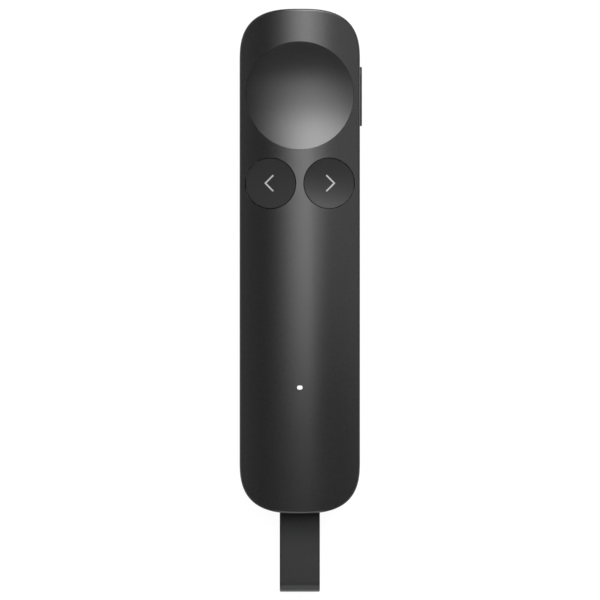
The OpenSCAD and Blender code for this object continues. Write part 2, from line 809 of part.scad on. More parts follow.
module port_tongue() color(chip_black) translate([0, 0, dock_z]) {
    y1 = port_y + port_l - port_skin;
    along_y(port_y + tongue_back, y1) square([tongue_w, tongue_t], center = true);
    along_y(port_y + plug_reach + tongue_seat, y1) square([tongue_w + 1, plug_h - 0.4], center = true);
}

// Outer form of the dock, from y0 to its plate, grown by air
module dock_outer(air, y0) {
    grown = 2 * (dock_wall + air);
    translate([0, 0, dock_z]) along_y(y0, port_y - plate_gap + air)
        round_rect(mouth_w + grown, mouth_h + grown, mouth_r + dock_wall);
}

module dock_sleeve() color(frame_grey) difference() {
    dock_outer(0, sleeve_y0);
    translate([0, 0, dock_z]) {
        along_y(tail_y, port_y - plate_gap - rear_plate) round_rect(mouth_w, mouth_h, mouth_r);
        along_y(tail_y, port_y + 1)
            round_rect(plug_w + 4 * plug_gap, plug_h + 4 * plug_gap, plug_r);
    }
}

// The dongle's case is split at mid height; the loop's bay is open at its rear
module dongle_case() {
    difference() {
        along_y(dongle_tail, dongle_front) round_rect(dongle_w, dongle_h, mouth_r - dock_gap);
        along_y(dongle_tail - 1, loop_bay)
            round_rect(loop_w + loop_room, 2 * (loop_r + loop_room), 0.3);
        along_y(loop_bay + bay_wall, dongle_front - dongle_face)
            square([dongle_w - 2 * dongle_wall, dongle_h - 2 * dongle_wall], center = true);
        along_y(dongle_front - 2 * dongle_face, dongle_front + 1)
            round_rect(plug_w, plug_h, plug_r);
        pin_line(pin_seat + 0.05) circle(d = pin_d);
    }
}

module receiver_upper() color(key_black) translate([0, 0, dock_z]) intersection() {
    dongle_case();
    block(-half_w, half_w, tail_y - 1, port_y, 0, dongle_h);
}

module receiver_lower() color(key_black) translate([0, 0, dock_z]) intersection() {
    dongle_case();
    block(-half_w, half_w, tail_y - 1, port_y, -dongle_h, 0);
}

// Runs along the pin, at its two ends reaching past the loop by seat
module pin_line(seat) {
    translate([0, pin_y, 0]) along_x(-loop_w / 2 - seat, loop_w / 2 + seat) children();
}

plug_foot = dongle_front - dongle_face - 0.6;   // rear end of the plug, inside the case
plug_slot = 0.15;                               // air round the tongue in the plug

module receiver_plug() color(tin) translate([0, 0, dock_z]) difference() {
    along_y(plug_foot, port_y + plug_reach) round_rect(plug_w, plug_h, plug_r);
    along_y(port_y + tongue_back - 2 * plug_slot, port_y + plug_reach + 1)
        round_rect(tongue_w + 2 * plug_slot, tongue_t + 2 * plug_slot, plug_slot);
}

// Board and chip of the dongle
stick_w = dongle_w - 2 * dongle_wall - 1.4;
stick_t = 0.8;
stick_y0 = loop_bay + bay_wall + 0.4;
stick_chip = [4, 0.85];                         // side and height of the chip

module receiver_board() color(board_green) translate([0, 0, dock_z])
    block(-stick_w / 2, stick_w / 2, stick_y0, plug_foot, -stick_t / 2, stick_t / 2);

module receiver_chip() color(chip_black) translate([0, 0, dock_z])
    block(-stick_chip[0] / 2, stick_chip[0] / 2, stick_y0 + 1.6, stick_y0 + 1.6 + stick_chip[0],
        stick_t / 2, stick_t / 2 + stick_chip[1]);

module loop_pin() color(tin) translate([0, 0, dock_z])
    pin_line(pin_seat) circle(d = pin_d - 0.04);

// Endless band round the pin, with a round fold at its free end
module pull_loop() color(strap_grey) translate([0, 0, dock_z]) difference() {
    along_x(-loop_w / 2, loop_w / 2) band(loop_r);
    along_x(-loop_w, loop_w) band(pin_d / 2);
}

module band(r) {
    fold = loop_tail + loop_r;
    translate([pin_y, 0]) circle(r);
    translate([fold, 0]) circle(r);
    translate([fold, -r]) square([pin_y - fold, 2 * r]);
}

// ---------------------------------------------------------------- nodes

top_shell();
bottom_shell();
key_frame();
dish_button();
dish_springs();
back_button();
next_button();
side_button();
main_board();
dish_switch();
back_switch();
next_switch();
side_switch();
dish_plunger();
back_plunger();
next_plunger();
side_plunger();
status_led();
light_pipe();
antenna();
radio_shield();
board_chips();
battery();
battery_pad();
battery_leads();
battery_connector();
haptic_motor();
motor_pad();
charge_port();
port_tongue();
dock_sleeve();
frame_screws();
board_screws();
receiver_upper();
receiver_lower();
receiver_plug();
receiver_board();
receiver_chip();
loop_pin();
pull_loop();
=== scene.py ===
import math

import bmesh
import bpy
import numpy as np
from mathutils.geometry import delaunay_2d_cdt
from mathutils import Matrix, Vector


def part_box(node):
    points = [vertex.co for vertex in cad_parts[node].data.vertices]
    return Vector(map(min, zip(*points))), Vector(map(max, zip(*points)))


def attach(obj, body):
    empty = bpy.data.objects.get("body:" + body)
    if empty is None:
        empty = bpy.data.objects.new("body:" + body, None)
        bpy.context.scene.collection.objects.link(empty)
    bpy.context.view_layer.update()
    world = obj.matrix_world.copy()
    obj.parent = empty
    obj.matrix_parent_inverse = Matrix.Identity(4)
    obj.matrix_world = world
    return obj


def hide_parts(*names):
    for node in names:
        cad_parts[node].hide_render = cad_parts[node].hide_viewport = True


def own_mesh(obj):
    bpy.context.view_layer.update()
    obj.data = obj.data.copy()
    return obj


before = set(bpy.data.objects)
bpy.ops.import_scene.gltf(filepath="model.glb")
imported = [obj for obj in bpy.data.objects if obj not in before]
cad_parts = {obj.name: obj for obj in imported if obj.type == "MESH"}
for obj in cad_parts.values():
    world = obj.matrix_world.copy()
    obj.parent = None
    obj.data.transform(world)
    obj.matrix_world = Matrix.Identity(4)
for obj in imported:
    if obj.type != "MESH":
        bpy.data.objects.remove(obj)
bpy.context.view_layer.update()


# ---------------------------------------------------------------- bottom shell
# The lower half of the casing is a thin tray of fine-grained graphite plastic, moulded in one
# piece. Its long edge is rounded all the way round, and its tail end has half of the dongle's
# mouth. The upper half clips onto its rim, and the joint shows as a hairline groove.

MM = 0.001                  # shapes are worked out in millimetres and stored in metres


def box_mm(node):
    """Lowest and highest corner of a CAD node, in millimetres."""
    return [np.array(corner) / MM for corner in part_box(node)]


shell_low, shell_high = box_mm("top_shell")
half_w = shell_high[0]
front_y = shell_high[1]
body_t = shell_high[2]
seam_z = shell_low[2]
end_l = 13.3                # length over which each end is rounded in plan
end_power = 2.8             # exponent of the superellipse of the ends
straight_y = front_y - end_l
true_x = 7                  # so far from the middle an inset outline keeps the outer one's x
wall = 1.2
base_round = 4
floor_t = 1.5
rim_lip = 0.14              # rounding of the two rims along the joint and round the mouth
brim = 0.04                 # narrow band of the same surface beside each small rounding
mouth_w, mouth_h, mouth_r, mouth_z = 12.0, 5.8, 1.6, 5.02
mouth_clear = 0.4           # the casing's own columns end so far from the mouth
upright_from = 1.6 * rim_lip    # the mouth's sides start so far from the joint


def outline_table(steps=600):
    """Arc length, x and y round the casing, from the middle of its left side to the tail, the
    right side, the front and back. An end is a superellipse, |x/a|^p + |y/b|^p = 1."""
    w = np.linspace(0, 1, steps + 1)
    t = np.pi / 2 * (3 * w**2 - 2 * w**3)
    quarter = np.stack([half_w * np.cos(t) ** (2 / end_power),
                        end_l * np.sin(t) ** (2 / end_power) + straight_y], 1)
    end = np.vstack([quarter, quarter[-2::-1] * [-1, 1]])
    loop = np.vstack([[[-half_w, 0]], end[::-1] * [1, -1], end, [[-half_w, 0]]])
    s = np.append(0, np.cumsum(np.hypot(*np.diff(loop, axis=0).T)))
    return s, loop[:, 0], loop[:, 1]


table_s, table_x, table_y = outline_table()
around = table_s[-1]
tail_s, tail_x = (a[(table_y < -straight_y)] for a in (table_s, table_x))


def plan(s, inset):
    """The casing's outline at arc length s, set in: across the middle of an end a point keeps
    its x, so that the dongle's mouth runs straight through the wall."""
    x0, y0 = np.interp(s, table_s, table_x), np.interp(s, table_s, table_y)
    squeeze = (half_w - inset - true_x) / (half_w - true_x)
    x = np.sign(x0) * np.minimum(abs(x0), true_x + (abs(x0) - true_x) * squeeze)
    x = np.where(abs(x0) > true_x, x, x0)
    share = np.clip(abs(x) / (half_w - inset), 0, 1) ** end_power
    bow = (end_l - inset) * (1 - share) ** (1 / end_power)
    y = np.where(abs(y0) > straight_y, np.sign(y0) * (straight_y + bow), y0)
    return np.stack([x, y], -1)


def columns(end_step=0.5, side_step=2.0):
    """Arc lengths of the points that every ring round the casing has."""
    corner = np.flatnonzero(np.isclose(abs(table_y), straight_y, atol=1e-6))
    marks = np.unique(np.round(np.append(table_s[corner], [0, around]), 6))
    spans = [np.linspace(a, b, max(2, round((b - a) / step) + 1))[:-1] for a, b, step in
             zip(marks[:-1], marks[1:], [side_step, end_step, side_step, end_step, side_step])]
    return np.concatenate(spans)


ring_s = columns()


def grid_patch(points, closed=True):
    """A grid of points, row after row, as quads. closed joins the last column to the first."""
    rows, cols = points.shape[:2]
    index = np.arange(rows * cols).reshape(rows, cols)
    if closed:
        index = np.hstack([index, index[:, :1]])
    quads = np.stack([index[:-1, :-1], index[:-1, 1:], index[1:, 1:], index[1:, :-1]], -1)
    return points.reshape(-1, 3), quads.reshape(-1, 4)


def inside(points, loop):
    """True for points in a closed loop: a ray to the right crosses it an odd number of times."""
    x, y = points[:, :1], points[:, 1:]
    (x0, y0), (x1, y1) = loop.T, np.roll(loop, -1, 0).T
    slope = (x1 - x0) / np.where(y1 == y0, 1, y1 - y0)
    return (((y0 > y) != (y1 > y)) & (x < x0 + (y - y0) * slope)).sum(1) % 2 == 1


def pierced_patch(rim, holes, step, place):
    """A sheet inside a rim and outside its holes, in triangles through a lattice of the given
    steps, less the points that lie within two fifths of a step of an edge. place takes its two
    coordinates to points in space."""
    loops = [rim] + list(holes)
    low, high = rim.min(0), rim.max(0)
    lattice = np.stack(np.meshgrid(*(np.arange(a + d / 2, b, d) for a, b, d in
                                     zip(low, high, step))), -1).reshape(-1, 2)

    def free(points):
        keep = inside(points, rim)
        for hole in holes:
            keep &= ~inside(points, hole)
        return keep

    lattice = lattice[free(lattice)]
    gap = np.sqrt(((lattice[:, None] - np.vstack(loops)[None]) ** 2).sum(-1)).min(1)
    lattice = lattice[gap > 0.4 * min(step)]
    starts = np.cumsum([0] + [len(loop) for loop in loops])
    sides = np.vstack([np.stack([a + np.arange(n), a + (np.arange(n) + 1) % n], 1)
                       for a, n in zip(starts, map(len, loops))])
    flat, _, faces, *_ = delaunay_2d_cdt(np.vstack(loops + [lattice]).tolist(),
                                         sides.tolist(), [], 0, 1e-7)
    flat, faces = np.array(flat), np.array(faces)
    return place(flat), faces[free(flat[faces].mean(1))]


def arch(top):
    """The half of the dongle's mouth above (top 1) or below (top -1) the joint, from left to
    right: x, z and the way into the opening. Its two ends meet the joint and turn with it."""
    r, hx, edge = mouth_r, mouth_w / 2, mouth_z + top * mouth_h / 2
    a = np.linspace(0, np.pi / 2, 9)
    up = np.linspace(seam_z + top * upright_from, edge - top * r, 5)[:-1]
    across = np.linspace(-hx + r, hx - r, 13)[1:-1]
    half = np.vstack([np.stack([-hx + 0 * up, up], 1),
                      np.stack([-hx + r - r * np.cos(a), edge - top * r * (1 - np.sin(a))], 1)])
    way = np.vstack([np.stack([1 + 0 * up, 0 * up], 1), np.stack([np.cos(a), -top * np.sin(a)], 1)])
    points = np.vstack([[[-hx, seam_z]], half, np.stack([across, edge + 0 * across], 1),
                        half[::-1] * [-1, 1], [[hx, seam_z]]])
    ways = np.vstack([[[1, -top]], way, np.stack([0 * across, -top + 0 * across], 1),
                      way[::-1] * [-1, 1], [[-1, -top]]])
    return points, ways


def rim_line(top, air=0.0):
    """The edge of a shell along the joint and round its half of the mouth: arc length, height
    and the way towards the other shell or into the mouth."""
    points, ways = arch(top)
    points = points + [0, top * air] * (points[:, 1:] == seam_z)
    x, y = plan(ring_s, 0).T
    s = ring_s[(abs(x) > mouth_w / 2 + mouth_clear) | (y > 0)]
    split = np.searchsorted(s, tail_s.mean())
    line = np.stack([s, seam_z + top * air + 0 * s], 1)
    way = np.stack([0 * s, -top + 0 * s], 1)
    mouth = np.stack([np.interp(points[:, 0], tail_x, tail_s), points[:, 1]], 1)
    return (np.vstack([line[:split], mouth, line[split:]]),
            np.vstack([way[:split], ways, way[split:]]))


def rim_strip(line, way, skin, inner, steps=5):
    """The rounded edge of a shell's rim, and the land from there to its inner skin. skin and
    inner give how far a height on each skin is set in."""
    rows = []
    for a in np.linspace(0, np.pi / 2, steps):
        moved = line - rim_lip * (1 - math.sin(a)) * way
        inset = skin(moved[:, 1]) + rim_lip * (1 - math.cos(a))
        rows.append(np.column_stack([plan(moved[:, 0], inset), moved[:, 1]]))
    rows.append(np.column_stack([plan(line[:, 0], inner(line[:, 1])), line[:, 1]]))
    return np.array(rows), line - rim_lip * way


def skin_rim(line, far, s_far, steps=15):
    """Closed rim of a skin that is unrolled from arc length 0 to all the way round. Its two
    upright sides have the same points, so that they join."""
    rise = np.linspace(line[0, 1], far[0], steps)[1:-1]
    join = np.stack([0 * rise, rise], 1)
    return np.vstack([line, [[around, line[0, 1]]], join + [around, 0],
                      np.stack([s_far, far], 1)[::-1], join[::-1]])


def solid(name, patches, sharp=38):
    """One closed mesh from patches that share their borders: joined where they meet, outward,
    and smooth but for edges sharper than the given angle."""
    starts = np.cumsum([0] + [len(points) for points, _ in patches])
    mesh = bpy.data.meshes.new(name)
    faces = [face for (_, f), a in zip(patches, starts) for face in
             ((f + a).tolist() if isinstance(f, np.ndarray) else [[i + a for i in g] for g in f])]
    mesh.from_pydata((np.vstack([p for p, _ in patches]) * MM).tolist(), [], faces)
    bm = bmesh.new()
    bm.from_mesh(mesh)
    bmesh.ops.remove_doubles(bm, verts=bm.verts, dist=2e-6)
    bmesh.ops.dissolve_degenerate(bm, edges=bm.edges, dist=1e-8)
    bmesh.ops.recalc_face_normals(bm, faces=bm.faces)
    bm.to_mesh(mesh)
    bm.free()
    mesh.shade_smooth()
    mesh.set_sharp_from_angle(angle=math.radians(sharp))
    piece = bpy.data.objects.new(name, mesh)
    bpy.context.scene.collection.objects.link(piece)
    weighting = piece.modifiers.new("normals by face area", "WEIGHTED_NORMAL")
    weighting.keep_sharp = True
    return piece


def bar(sections):
    """A run of closed sections, one row each, as walls with a flat face at either end."""
    points, quads = grid_patch(sections)
    rows, cols = sections.shape[:2]
    last = (rows - 1) * cols
    return points, quads.tolist() + [list(range(cols)), list(range(last, last + cols))]


def block(x0, x1, y0, y1, z0, z1):
    """A plain block between two corners."""
    section = np.array([[y0, z0], [y1, z0], [y1, z1], [y0, z1]])
    return bar(np.array([np.column_stack([np.full(4, x), section]) for x in (x0, x1)]))


def turned(at, radii, heights, sides=40):
    """A profile of radii and heights, turned about an upright line through at. Where the
    radius is nought it closes."""
    a = np.linspace(0, 2 * np.pi, sides, endpoint=False)
    r, z = np.array(radii, float)[:, None], np.array(heights, float)[:, None]
    return grid_patch(np.stack([at[0] + r * np.cos(a), at[1] + r * np.sin(a), z + 0 * a], -1))


def bowl(edge, inward, low):
    """A skin set in by edge at the joint, from where it curves in as a quarter ellipse down to
    the height low. Gives how far it is set in at a height, the angle times the rise there, and
    its points for arc lengths and such angles."""
    rise = seam_z - low

    def set_in(z):
        share = np.clip(1 - (z - low) / rise, 0, 1)
        return edge + inward * (1 - np.sqrt(1 - share**2))

    def turn(z):
        return rise * np.arccos(np.clip(1 - (z - low) / rise, -1, 1))

    def skin(flat):
        a = np.clip(flat[:, 1] / rise, 0, np.pi / 2)
        return np.column_stack([plan(flat[:, 0], edge + inward * (1 - np.sin(a))),
                                low + rise * (1 - np.cos(a))])

    return set_in, turn, skin


seam_air = 0.01             # half of the groove between the two halves
cavity_inset = base_round - wall / 2
base_set_in, base_turn, base_skin = bowl(0, base_round, 0)
cavity_set_in, cavity_turn, cavity_skin = bowl(wall, cavity_inset, floor_t)
base_line, base_way = rim_line(-1, seam_air)
base_strip, base_edge = rim_strip(base_line, base_way, base_set_in, cavity_set_in)
ring_end = np.append(ring_s, around)
outer_rim, inner_rim = (
    skin_rim(np.column_stack([line[:, 0], turn(line[:, 1])]), 0 * ring_end, ring_end)
    for line, turn in ((base_edge, base_turn), (base_line, cavity_turn)))


def flat_at(z):
    """A level sheet at height z."""
    return lambda flat: np.column_stack([flat, np.full(len(flat), z)])


hook_y, hook_half = (-38, -12, 12.5), 1.5
hook_air = 0.15             # from the hooks' backs to the upper half's wall
hook_x = half_w - wall - hook_air
hook_outline = np.array([[-0.9, 2.4], [0, 2.4], [0, 5.3], [0.3, 5.39], [0.3, 5.75], [0, 6.2],
                         [-0.9, 6.2]])  # distance from the back, and height


def hook(side, y):
    """A snap hook: its outline across the body, drawn out to its width along the body."""
    x, z = side * (hook_x + hook_outline[:, 0]), hook_outline[:, 1]
    return bar(np.array([np.column_stack([x, np.full(len(x), v), z])
                         for v in (y - hook_half, y + hook_half)]))


cell_low, cell_high = box_mm("battery")
rib_foot, rib_top, rib_t, rib_air = floor_t / 2, floor_t + 1.6, 0.9, 0.3
end_rib_x, side_rib_l = (3.33, 10), 3
side_rib_y = (cell_low[1] + 7.5, cell_high[1] - 9)


def rib(side, x0, x1, y, length):
    """A rib on the floor that keeps the battery in place, on its left (-1) or right (1) side."""
    return block(*sorted([side * x0, side * x1]), y, y + length, rib_foot, rib_top)


cell_x = cell_high[0] + rib_air
ribs = [rib(side, *end_rib_x, y, rib_t) for side in (-1, 1)
        for y in (cell_low[1] - rib_air - rib_t, cell_high[1] + rib_air)]
ribs += [rib(side, cell_x, cell_x + rib_t, y, side_rib_l) for side in (-1, 1)
         for y in side_rib_y]

motor_low, motor_high = box_mm("haptic_motor")
motor_at = (motor_low + motor_high)[:2] / 2
motor_air, ring_top = 0.2, 2.3
ring_in = (motor_high - motor_low)[0] / 2 + motor_air
ring_out = ring_in + rib_t
motor_ring = turned(motor_at, [ring_in, ring_out, ring_out, ring_in, ring_in],
                    [rib_foot, rib_foot, ring_top, ring_top, rib_foot])

bottom_shell = solid("bottom_shell_skin", [
    pierced_patch(outer_rim, [], step=(1.6, 0.5), place=base_skin),
    pierced_patch(plan(ring_s, base_round), [], step=(2.5, 5), place=flat_at(0.0)),
    grid_patch(base_strip),
    pierced_patch(inner_rim, [], step=(2.0, 0.8), place=cavity_skin),
    pierced_patch(plan(ring_s, wall + cavity_inset), [], step=(2.5, 5), place=flat_at(floor_t)),
    motor_ring] + ribs + [hook(side, y) for side in (-1, 1) for y in hook_y])


def add_node(tree, kind, **settings):
    """A node with its settings: a name of an input sets that input, any other a property."""
    node = tree.nodes.new("ShaderNode" + kind)
    for key, value in settings.items():
        name = key.replace("_", " ").title()
        if name in node.inputs:
            node.inputs[name].default_value = value
        else:
            setattr(node, key, value)
    return node


def maths(tree, operation, *values):
    """The output of a Math node. A value is a number or the output of another node."""
    node = add_node(tree, "Math", operation=operation)
    for socket, value in zip(node.inputs, values):
        if isinstance(value, (int, float)):
            socket.default_value = value
        else:
            tree.links.new(value, socket)
    return node.outputs[0]


def smooth_rise(tree, value, start, end, top=1.0):
    """Rises smoothly from 0 to top while the value goes from start to end."""
    node = add_node(tree, "MapRange", interpolation_type="SMOOTHSTEP", from_min=start,
                    from_max=end, to_max=top)
    tree.links.new(value, node.inputs["Value"])
    return node.outputs["Result"]


def new_group(name, inputs, outputs):
    """An empty node group with named value inputs, a vector input Point, and its outputs."""
    tree = bpy.data.node_groups.new(name, "ShaderNodeTree")
    tree.interface.new_socket("Point", in_out="INPUT", socket_type="NodeSocketVector")
    for key, value in inputs.items():
        tree.interface.new_socket(key, in_out="INPUT",
                                  socket_type="NodeSocketFloat").default_value = value
    for key in outputs:
        tree.interface.new_socket(key, in_out="OUTPUT", socket_type="NodeSocketFloat")
    return tree, tree.nodes.new("NodeGroupInput"), tree.nodes.new("NodeGroupOutput")


def moulded_grain():
    """Spark-eroded grain of a moulded skin: fine noise, broken up by a coarser one."""
    tree, given, out = new_group("moulded_grain", {"Fineness": 6000.0}, ["Height", "Speckle"])
    coarser, coarse_part = 0.37, 0.6
    fine = add_node(tree, "TexNoise", detail=2.0, roughness=0.55)
    coarse = add_node(tree, "TexNoise", detail=1.0, roughness=0.5)
    pits = add_node(tree, "MapRange", from_min=0.35, from_max=0.68)
    link = tree.links.new
    for noise in (fine, coarse):
        link(given.outputs["Point"], noise.inputs["Vector"])
    link(given.outputs["Fineness"], fine.inputs["Scale"])
    link(maths(tree, "MULTIPLY", given.outputs["Fineness"], coarser), coarse.inputs["Scale"])
    link(maths(tree, "MULTIPLY_ADD", coarse.outputs["Fac"], coarse_part, fine.outputs["Fac"]),
         out.inputs["Height"])
    link(fine.outputs["Fac"], pits.inputs["Value"])
    link(pits.outputs["Result"], out.inputs["Speckle"])
    return tree


def handling_marks():
    """Faint smears that hands leave: slow noise, stretched by a slower one."""
    tree, given, out = new_group("handling_marks", {"Fineness": 120.0}, ["Smear"])
    warp = add_node(tree, "TexNoise", detail=2.0, scale=60.0)
    stretch = add_node(tree, "VectorMath", operation="MULTIPLY_ADD")
    stretch.inputs[1].default_value = (0.01, 0.02, 0.01)
    smear = add_node(tree, "TexNoise", detail=4.0, roughness=0.6)
    link = tree.links.new
    link(given.outputs["Point"], warp.inputs["Vector"])
    link(warp.outputs["Color"], stretch.inputs[0])
    link(given.outputs["Point"], stretch.inputs[2])
    link(stretch.outputs[0], smear.inputs["Vector"])
    link(given.outputs["Fineness"], smear.inputs["Scale"])
    link(smooth_rise(tree, smear.outputs["Fac"], 0.35, 0.7), out.inputs["Smear"])
    return tree


grain_group = moulded_grain()
marks_group = handling_marks()


def finish_of(name, dark, light, rough, fineness=6000.0, depth=1.2e-6, smear=120.0, **sockets):
    """A moulded or coated finish: grain bumps it and speckles its colour from dark to light,
    and handling moves its roughness between two values. Other sockets are set as given."""
    material = bpy.data.materials.new(name)
    material.use_nodes = True
    tree = material.node_tree
    shader = tree.nodes["Principled BSDF"]
    for key, value in sockets.items():
        shader.inputs[key.replace("_", " ").title().replace("Ior", "IOR")].default_value = value
    where = add_node(tree, "TexCoord")
    grain = add_node(tree, "Group", node_tree=grain_group, fineness=fineness)
    marks = add_node(tree, "Group", node_tree=marks_group, fineness=smear)
    tone = add_node(tree, "Mix", data_type="RGBA", a=(*dark, 1), b=(*light, 1))
    gloss = add_node(tree, "MapRange", to_min=rough[0], to_max=rough[1])
    bump = add_node(tree, "Bump", strength=1.0, distance=depth)
    link = tree.links.new
    for group in (grain, marks):
        link(where.outputs["Object"], group.inputs["Point"])
    link(grain.outputs["Speckle"], tone.inputs["Factor"])
    link(tone.outputs["Result"], shader.inputs["Base Color"])
    link(marks.outputs["Smear"], gloss.inputs["Value"])
    link(gloss.outputs["Result"], shader.inputs["Roughness"])
    link(grain.outputs["Height"], bump.inputs["Height"])
    link(bump.outputs["Normal"], shader.inputs["Normal"])
    return material


shell_finish = finish_of("graphite_shell", (0.0119, 0.0119, 0.0121), (0.0147, 0.0147, 0.0149),
                         (0.135, 0.145), depth=8e-7, specular_ior_level=0.5)
bottom_shell.data.materials.append(shell_finish)
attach(bottom_shell, "housing")
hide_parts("bottom_shell")


# ---------------------------------------------------------------- battery and motor
# A pouch cell in wrinkled foil lies in the tray on a strip of foam, with two red leads to a
# white plug. The coin motor that makes the remote buzz is glued down in front of it.

def dress(finish, *names):
    """Gives moulded or bought-in parts their finish."""
    for name in names:
        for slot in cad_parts[name].material_slots:
            slot.material = finish


dress(finish_of("battery_foil", (0.30, 0.32, 0.34), (0.42, 0.44, 0.46), (0.28, 0.42),
                fineness=900.0, depth=3e-5, metallic=0.85), "battery")
dress(finish_of("foam_black", (0.012, 0.012, 0.013), (0.03, 0.03, 0.032), (0.85, 0.95),
                fineness=2500.0, depth=3e-5), "battery_pad", "motor_pad")
dress(finish_of("lead_red", (0.38, 0.02, 0.015), (0.46, 0.03, 0.02), (0.35, 0.45),
                depth=2e-6), "battery_leads")
dress(finish_of("connector_white", (0.68, 0.66, 0.60), (0.74, 0.72, 0.66), (0.45, 0.55)),
      "battery_connector")
dress(finish_of("motor_steel", (0.46, 0.46, 0.47), (0.54, 0.54, 0.55), (0.22, 0.34),
                fineness=2000.0, depth=6e-7, metallic=1.0), "haptic_motor")


# ---------------------------------------------------------------- main board
# A green laminate board with its switches, radio can, chips, antenna strip, status light and
# charging port, all soldered on. Ten small screws hold it and the key frame to the top shell.

dress(finish_of("board_laminate", (0.010, 0.060, 0.034), (0.016, 0.085, 0.050), (0.28, 0.36),
                fineness=1500.0, depth=2e-6), "main_board", "receiver_board")
dress(finish_of("tin_plate", (0.52, 0.53, 0.54), (0.60, 0.61, 0.62), (0.24, 0.36),
                fineness=1800.0, depth=8e-7, metallic=1.0),
      "radio_shield", "antenna", "charge_port", "receiver_plug")
dress(finish_of("switch_metal", (0.58, 0.58, 0.56), (0.66, 0.66, 0.64), (0.28, 0.4),
                metallic=1.0), "dish_switch", "back_switch", "next_switch", "side_switch")
dress(finish_of("plunger_plastic", (0.02, 0.02, 0.022), (0.03, 0.03, 0.032), (0.4, 0.5)),
      "dish_plunger", "back_plunger", "next_plunger", "side_plunger")
dress(finish_of("chip_black", (0.012, 0.012, 0.013), (0.022, 0.022, 0.024), (0.5, 0.62),
                fineness=9000.0, depth=2e-6), "board_chips", "receiver_chip", "port_tongue")
dress(finish_of("screw_steel", (0.42, 0.42, 0.43), (0.5, 0.5, 0.51), (0.25, 0.35),
                fineness=3000.0, depth=5e-7, metallic=1.0), "frame_screws", "board_screws",
      "loop_pin")
dress(finish_of("lamp_body", (0.75, 0.74, 0.66), (0.82, 0.81, 0.74), (0.4, 0.5)), "status_led")


# ---------------------------------------------------------------- key frame and dock
# A grey plate of glass-filled plastic carries the sleeves in which the dish and the keys slide.
# Four coil springs of bright wire stand on it round the dish's posts. The dongle's dock is of
# the plate's plastic.

dress(finish_of("frame_plastic", (0.050, 0.052, 0.057), (0.075, 0.078, 0.084), (0.5, 0.62),
                fineness=3500.0, depth=3e-6), "key_frame", "dock_sleeve")


def coil(at, mean_r, wire, low, high, turns=2, steps=56, sides=12):
    """Round wire wound into a helix: a small circle, carried round an upright line."""
    a = np.linspace(0, 2 * np.pi * turns, steps)[:, None]
    b = np.linspace(0, 2 * np.pi, sides, endpoint=False)
    q = mean_r + wire / 2 * np.cos(b)
    climb = np.linspace(low + wire / 2, high - wire / 2, steps)[:, None]
    return bar(np.stack([at[0] + q * np.cos(a), at[1] + q * np.sin(a),
                         climb + wire / 2 * np.sin(b) + 0 * a], -1))


coils_low, coils_high = box_mm("dish_springs")
coil_r, coil_wire, dish_travel = 1.96, 0.3, 0.4
coils_mid = (coils_low + coils_high)[:2] / 2
coil_out = (coils_high - coils_low)[0] / 2 - coil_r
springs = solid("dish_spring_coils", [
    coil(coils_mid + coil_out * np.array([side, end]), coil_r - coil_wire / 2, coil_wire,
         coils_low[2], coils_high[2]) for side in (-1, 1) for end in (-1, 1)], sharp=60)
springs.data.materials.append(finish_of("spring_steel", (0.5, 0.5, 0.5), (0.58, 0.58, 0.58),
                                        (0.2, 0.3), metallic=1.0))
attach(springs, "housing")
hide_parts("dish_springs")
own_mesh(springs)


# ---------------------------------------------------------------- thumb dish
# The big round button that rests under the thumb: a satin plastic cap, hollowed below the
# crown of the body, with a skirt, four guide posts, a nub for the switch and two wings that
# keep it from coming out.

crown_r = 44


def crown(x):
    """Height of the crowned top: an arc of a circle across the body."""
    return body_t - crown_r + np.sqrt(crown_r**2 - x**2)


dish_low, dish_high = box_mm("dish_button")
dish_at = (dish_low + dish_high)[:2] / 2
dish_r = (dish_high - dish_low)[0] / 2
slide_air = 0.12            # between the dish and the crown's opening and underside
dish_open = dish_r + slide_air
dish_gap, dish_rim, dish_depth = 0.06, 0.03, 1.0
cap_under, skirt_under, skirt_t, skirt_edge = 10.2, 9.4, 1.1, 0.1


def hollow_cap(at, r, open_r, depth, rim, rows, sides=144):
    """A round cap whose top is the crown less depth * (1 - (q/open_r)^2) at radius q, with a
    rounded rim, a skirt, and a flat underside."""
    a = np.linspace(0, 2 * np.pi, sides, endpoint=False)
    turn = np.linspace(0, np.pi / 2, 7)
    q = np.concatenate([np.linspace(0, r - rim - brim, rows), r - rim + rim * np.sin(turn)])
    drop = np.concatenate([np.zeros(rows), rim * (1 - np.cos(turn))])
    x, y = at[0] + q[:, None] * np.cos(a), at[1] + q[:, None] * np.sin(a)
    z = crown(x) - depth * (1 - (q[:, None] / open_r) ** 2) - drop[:, None]
    top = np.stack([x, y, z], -1)
    below = [(r, skirt_under + skirt_edge), (r - skirt_edge, skirt_under),
             (r - skirt_t, skirt_under), (r - skirt_t, cap_under), (0.0, cap_under)]
    skirt = np.stack([np.stack([at[0] + v * np.cos(a), at[1] + v * np.sin(a), h + 0 * a], -1)
                      for v, h in below])
    return grid_patch(np.concatenate([top, skirt]))


post_low, post_r, post_sunk, spring_air = 8.1, 0.9, 0.2, 0.15
foot_r, foot_cut = 0.2, 0.06    # the rounding of a post's foot, and how far it cuts the corner
nub_low, nub_r = 9.65, 1.5


def guide_post(at, r, z0):
    """A round post with a rounded foot, sunk into the cap."""
    z1 = cap_under + post_sunk
    return turned(at, [0, r - foot_r, r - foot_cut, r, r, 0],
                  [z0, z0, z0 + foot_cut, z0 + foot_r, z1, z1], sides=24)


post_ring = dish_r - skirt_t - coil_r - spring_air
roof = 1.4                  # thickness of the crown
wing_r, wing_half, wing_root, wing_slope = 14.5, 4.0, 0.6, 0.5
wing_top = float(crown(wing_half)) - roof - slide_air


